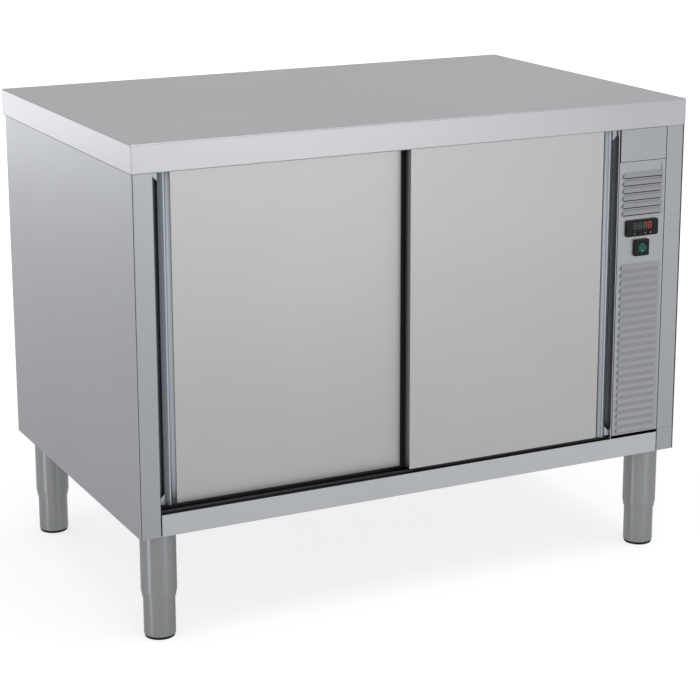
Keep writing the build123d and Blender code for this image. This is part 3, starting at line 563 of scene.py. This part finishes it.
rocker_teal = moulded("teal_polycarbonate", "2E6460", 0.25, 900, 0.00006)
rocker_low, rocker_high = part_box("switch_rocker")
rocker_axle = 0.003
rocker_centre = Vector((
    (rocker_low.x + rocker_high.x) / 2, panel_front - rocker_axle,
    (rocker_low.z + rocker_high.z) / 2))
rocker_radius = 0.00995
rocker_reach = 0.0048
rocker_back = 0.0055
rim_width = 0.0014
dish_slope = 0.0006
dish_depth = 0.0007
rocker_lean = math.radians(6)
rocker_facing = Vector((0, -math.cos(rocker_lean), -math.sin(rocker_lean)))
cap = bmesh.new()
bmesh.ops.create_uvsphere(cap, u_segments=48, v_segments=32, radius=rocker_radius)
bmesh.ops.rotate(cap, cent=(0, 0, 0), matrix=face_front, verts=cap.verts)
bmesh.ops.translate(cap, vec=rocker_centre, verts=cap.verts)
for outward, reach in ((rocker_facing, rocker_reach), (Vector((0, 1, 0)), rocker_back)):
    bmesh.ops.bisect_plane(cap, geom=whole(cap), plane_co=rocker_centre + outward * reach,
                           plane_no=outward, clear_outer=True)
    rim = [e for e in cap.edges if len(e.link_faces) == 1]
    bmesh.ops.contextual_create(cap, geom=rim)
bmesh.ops.recalc_face_normals(cap, faces=cap.faces)
face = max(cap.faces, key=lambda f: f.normal.dot(rocker_facing) * f.calc_area())
bmesh.ops.inset_region(cap, faces=[face], thickness=rim_width)
bmesh.ops.inset_region(cap, faces=[face], thickness=dish_slope, depth=-dish_depth)
bmesh.ops.recalc_face_normals(cap, faces=cap.faces)
cap_piece = put_piece("rocker_cap", cap, rocker_teal, "rocker", "switch_rocker", smooth=35)

dot_foot, dot_face, dot_height = 0.0013, 0.0011, 0.0006
dot_reach = 0.0044
dot_drop = 0.0052
dot = bmesh.new()
bmesh.ops.create_cone(dot, cap_ends=True, segments=20, radius1=dot_foot, radius2=dot_face,
                      depth=dot_height)
dot_turn = rocker_facing.to_track_quat("Z", "Y").to_matrix()
bmesh.ops.rotate(dot, cent=(0, 0, 0), matrix=dot_turn, verts=dot.verts)
rocker_down = Vector((0, math.sin(rocker_lean), -math.cos(rocker_lean)))
dot_place = rocker_centre + rocker_facing * dot_reach + rocker_down * dot_drop
bmesh.ops.translate(dot, vec=dot_place, verts=dot.verts)
dot_piece = put_piece("rocker_dot", dot, key_ink, "rocker")

# --- Legs and feet ------------------------------------------------------------------------------
# Each leg is a stainless tube, swaged in at its end round a cup that screws out to level the
# cabinet. The tube is ground round and round, so its strokes run across it and draw each
# highlight into an upright line.
leg_steel = brushed_stainless(
    "leg_stainless", "8B8D8F", "86888A", (5, 5, 700), 0.4, spread=(0, 0, 1))
# Moulded rubber, dull and nearly black, that keeps the foot from sliding.
rubber_black = moulded("black_rubber", "0A0A0A", 0.6, 1500, 0.0001)


def turned(profile, x, y):
    """Turn a closed profile of (radius, height) points once round an upright axis."""
    shape = bmesh.new()
    rim = [shape.verts.new((x + radius, y, height)) for radius, height in profile]
    ring = [shape.edges.new((a, b)) for a, b in zip(rim, rim[1:] + rim[:1])]
    bmesh.ops.spin(shape, geom=rim + ring, cent=(x, y, 0), axis=(0, 0, 1), dvec=(0, 0, 0),
                   angle=2 * math.pi, steps=72, use_merge=True, use_duplicate=False)
    bmesh.ops.remove_doubles(shape, verts=shape.verts, dist=0.000001)
    bmesh.ops.recalc_face_normals(shape, faces=shape.faces)
    return shape


corners = {}
for corner in ("front_left", "front_right", "rear_left", "rear_right"):
    low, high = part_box(f"foot_{corner}")
    corners[corner] = ((low.x + high.x) / 2, (low.y + high.y) / 2)

tube_profile = [
    (0.0318, 0.196), (0.0318, 0.088), (0.0316, 0.086), (0.0303, 0.0795), (0.02995, 0.078),
    (0.02995, 0.0754), (0.0296, 0.075), (0.0286, 0.075), (0.02845, 0.0755), (0.02845, 0.078),
    (0.0303, 0.086), (0.0303, 0.196),
]
tubes = bmesh.new()
for corner, (x, y) in corners.items():
    one = turned(tube_profile, x, y)
    one_mesh = bpy.data.meshes.new("tube")
    one.to_mesh(one_mesh)
    one.free()
    tubes.from_mesh(one_mesh)
    bpy.data.meshes.remove(one_mesh)
tube_piece = put_piece("leg_tube_group", tubes, leg_steel, "cabinet", "leg_tubes", smooth=25)

foot_profile = [
    (0.0, 0.005), (0.0270, 0.005), (0.0278, 0.0053), (0.0282, 0.0062), (0.0282, 0.145),
    (0.0267, 0.145), (0.0267, 0.008), (0.0, 0.008),
]
pad_profile = [
    (0.0, 0.0), (0.0258, 0.0), (0.0265, 0.0003), (0.0268, 0.001), (0.0268, 0.005), (0.0, 0.005),
]
for corner, (x, y) in corners.items():
    foot_piece = put_piece(f"foot_cup_{corner}", turned(foot_profile, x, y), leg_steel,
                           f"levelling_foot_{corner}", f"foot_{corner}", smooth=25)
    pad_piece = put_piece(f"foot_rubber_{corner}", turned(pad_profile, x, y), rubber_black,
                          f"levelling_foot_{corner}", f"foot_pad_{corner}", smooth=25)

# --- Door running gear, seal and tracks ---------------------------------------------------------
# Nylon wheels hang the doors from aluminium channels under the worktop, nylon shoes guide them on
# a low aluminium strip, and a black rubber strip closes the gap where the doors overlap.
# Extruded and left bare, so it is pale, with long fine lines from the die.
track_metal = brushed_stainless("plain_aluminium", "B2B5B8", "A6AAAE", (3, 1500, 1500), 0.36)
dress("top_track", track_metal)
# The lower strip is rough and dull, and its dark grey is a painted shade for the shadow under the
# doors.
dull_painted_shade_aluminium = brushed_stainless(
    "dull_painted_shade_aluminium", "626568", "5A5D60", (3, 1500, 1500), 0.5)
dress("bottom_track", dull_painted_shade_aluminium)
seal_piece = put_piece("door_seal_strip", eased_copy("left_door_seal", 0.0006), rubber_black,
                       "left_door", "left_door_seal")
# Zinc plate is pale and mottled in patches of a few millimetres.
zinc = brushed_stainless("zinc_plate", "A9ABA8", "97999A", (300, 300, 300), 0.42)
# Moulded nylon with a dull sheen, milky on the wheels and black on the shoes.
nylon_white = moulded("white_nylon", "D6D4CC", 0.45, 1200, 0.00005)
nylon_black = moulded("black_nylon", "1B1C1E", 0.5, 1500, 0.00005)
wheel_profile = [
    (0.00255, -0.003), (0.0102, -0.003), (0.0108, -0.0028), (0.011, -0.0022), (0.011, -0.0008),
    (0.0106, -0.0004), (0.0106, 0.0004), (0.011, 0.0008), (0.011, 0.0022), (0.0108, 0.0028),
    (0.0102, 0.003), (0.00255, 0.003),
]
for door in ("left_door", "right_door"):
    dress(f"{door}_hangers", zinc)
    dress(f"{door}_guide", nylon_black)
    for letter in "ab":
        node = f"{door}_roller_{letter}"
        low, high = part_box(node)
        hub = ((low.x + high.x) / 2, (low.y + high.y) / 2, (low.z + high.z) / 2)
        wheel = turned(wheel_profile, 0, 0)
        bmesh.ops.rotate(wheel, cent=(0, 0, 0), matrix=face_front, verts=wheel.verts)
        bmesh.ops.translate(wheel, vec=hub, verts=wheel.verts)
        wheel_piece = put_piece(f"{door}_wheel_{letter}", wheel, nylon_white, node, node, smooth=25)

# --- Chamber ------------------------------------------------------------------------------------
# Plain stainless liners with mineral wool between them and the shell. Four posts with pegs carry
# a slotted shelf, and a perforated baffle covers the fan and its ring heater.
# Sheet as it left the mill, pale, with faint rolling lines.
liner_steel = brushed_stainless("liner_stainless", "C4C4C2", "BCBCBB", (7, 700, 700), 0.34)
for node in ("liner_left", "liner_rear", "liner_floor", "liner_ceiling", "partition",
             "air_baffle", "shelf_posts", "leg_sockets"):
    dress(node, liner_steel)
shelf_piece = put_piece("slotted_shelf", eased_copy("shelf", 0.0004), liner_steel,
                        "loose_shelf", "shelf")
# The wool is matt and tan with loose fibres, and the motor is enamelled a glossy black.
dress("insulation_slabs", moulded("mineral_wool", "B9A36A", 0.9, 400, 0.002))
dress("fan_motor", moulded("black_enamel", "1E2022", 0.35, 500, 0.00005))
dress("fan_impeller", track_metal)
# Steel sheath that heat has turned straw brown, in uneven patches.
heat_tinted = brushed_stainless("heat_tinted_sheath", "8A7460", "6F5C50", (200, 200, 200), 0.45)
dress("heating_element", heat_tinted)

# --- Back and underside -------------------------------------------------------------------------
# The rear panel is screwed to the sides, with slots that let the service bay breathe and a nylon
# gland for the supply cord. The base pan closes the underside.
# Plain sheet that nobody sees, ground upright with a coarse belt, so it is the dullest.
back_steel = brushed_stainless("back_stainless", "BFC1C2", "B5B7B9", (1000, 1000, 8), 0.42)
for node in ("base_pan", "rear_panel"):
    back_piece = put_piece(f"{node}_sheet", eased_copy(node, 0.0004), back_steel, "cabinet",
                           node)
screw_piece = put_piece("pan_head_screws", eased_copy("screws", 0.0006), zinc, "cabinet",
                        "screws", smooth=40)
gland_piece = put_piece("cord_gland", eased_copy("cable_gland", 0.0006), nylon_black, "cabinet",
                        "cable_gland", smooth=40)
